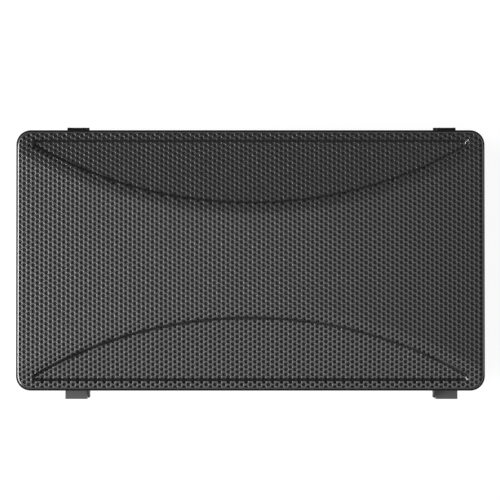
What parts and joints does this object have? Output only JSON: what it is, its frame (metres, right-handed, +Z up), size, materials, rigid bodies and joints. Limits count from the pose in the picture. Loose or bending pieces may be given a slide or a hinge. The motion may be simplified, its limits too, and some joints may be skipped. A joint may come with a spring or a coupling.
{
  "type": "lidded chip rack",
  "caption": "Closed chip rack: shallow tub with a channelled chip tray under a hinged lid whose domed top is a formed perforated grille with sunken curved panels, held by snap latches.",
  "frame": {"origin": "under the middle of the whole part, on the plane of the feet", "axes": "+Z up through the grille, +X along the long side to the right, +Y towards the latches with the hinges at -Y"},
  "size_m": [0.218, 0.129, 0.052],
  "materials": {
    "moulded_black": "satin black moulded plastic",
    "tray_black": "fine-grained black moulded plastic",
    "latch_black": "satin black moulded plastic",
    "grille_steel": "dark grey satin paint on perforated steel sheet",
    "lining_cloth": "black woven cloth",
    "felt": "charcoal felt",
    "rubber": "matt black rubber",
    "block_grey": "mid-grey painted die-cast zinc",
    "steel": "bright steel",
    "steel_black": "black painted steel"
  },
  "bodies": {
    "base": {"base_shell": "moulded_black", "chip_tray": "tray_black", "channel_liners": "felt", "tray_screws": "steel", "foot_front_left": "rubber", "foot_front_right": "rubber", "foot_rear_left": "rubber", "foot_rear_right": "rubber", "hinge_block_left": "block_grey", "hinge_block_right": "block_grey", "hinge_block_screws": "steel", "hinge_pin_left": "steel", "hinge_pin_right": "steel", "catch_plate_left": "steel_black", "catch_plate_right": "steel_black", "catch_screws": "steel"},
    "lid": {"lid_frame": "moulded_black", "cover_grille": "grille_steel", "grille_lining": "lining_cloth", "hinge_ear_left": "steel_black", "hinge_ear_right": "steel_black", "hinge_ear_screws": "steel_black", "latch_pin_left": "steel", "latch_pin_right": "steel"},
    "latch_lever_left": {"latch_left": "latch_black"},
    "latch_lever_right": {"latch_right": "latch_black"}
  },
  "joints": [
    {"name": "lid_hinge", "type": "hinge", "parent": "base", "child": "lid", "pos_m": [0, -0.06195, 0.026], "axis": [1, 0, 0], "range_deg": [0, 104]},
    {"name": "latch_left_pivot", "type": "hinge", "parent": "lid", "child": "latch_lever_left", "pos_m": [-0.0814, 0.06165, 0.0366], "axis": [1, 0, 0], "range_deg": [0, 130]},
    {"name": "latch_right_pivot", "type": "hinge", "parent": "lid", "child": "latch_lever_right", "pos_m": [0.0918, 0.06165, 0.0366], "axis": [1, 0, 0], "range_deg": [0, 130]}
  ]
}
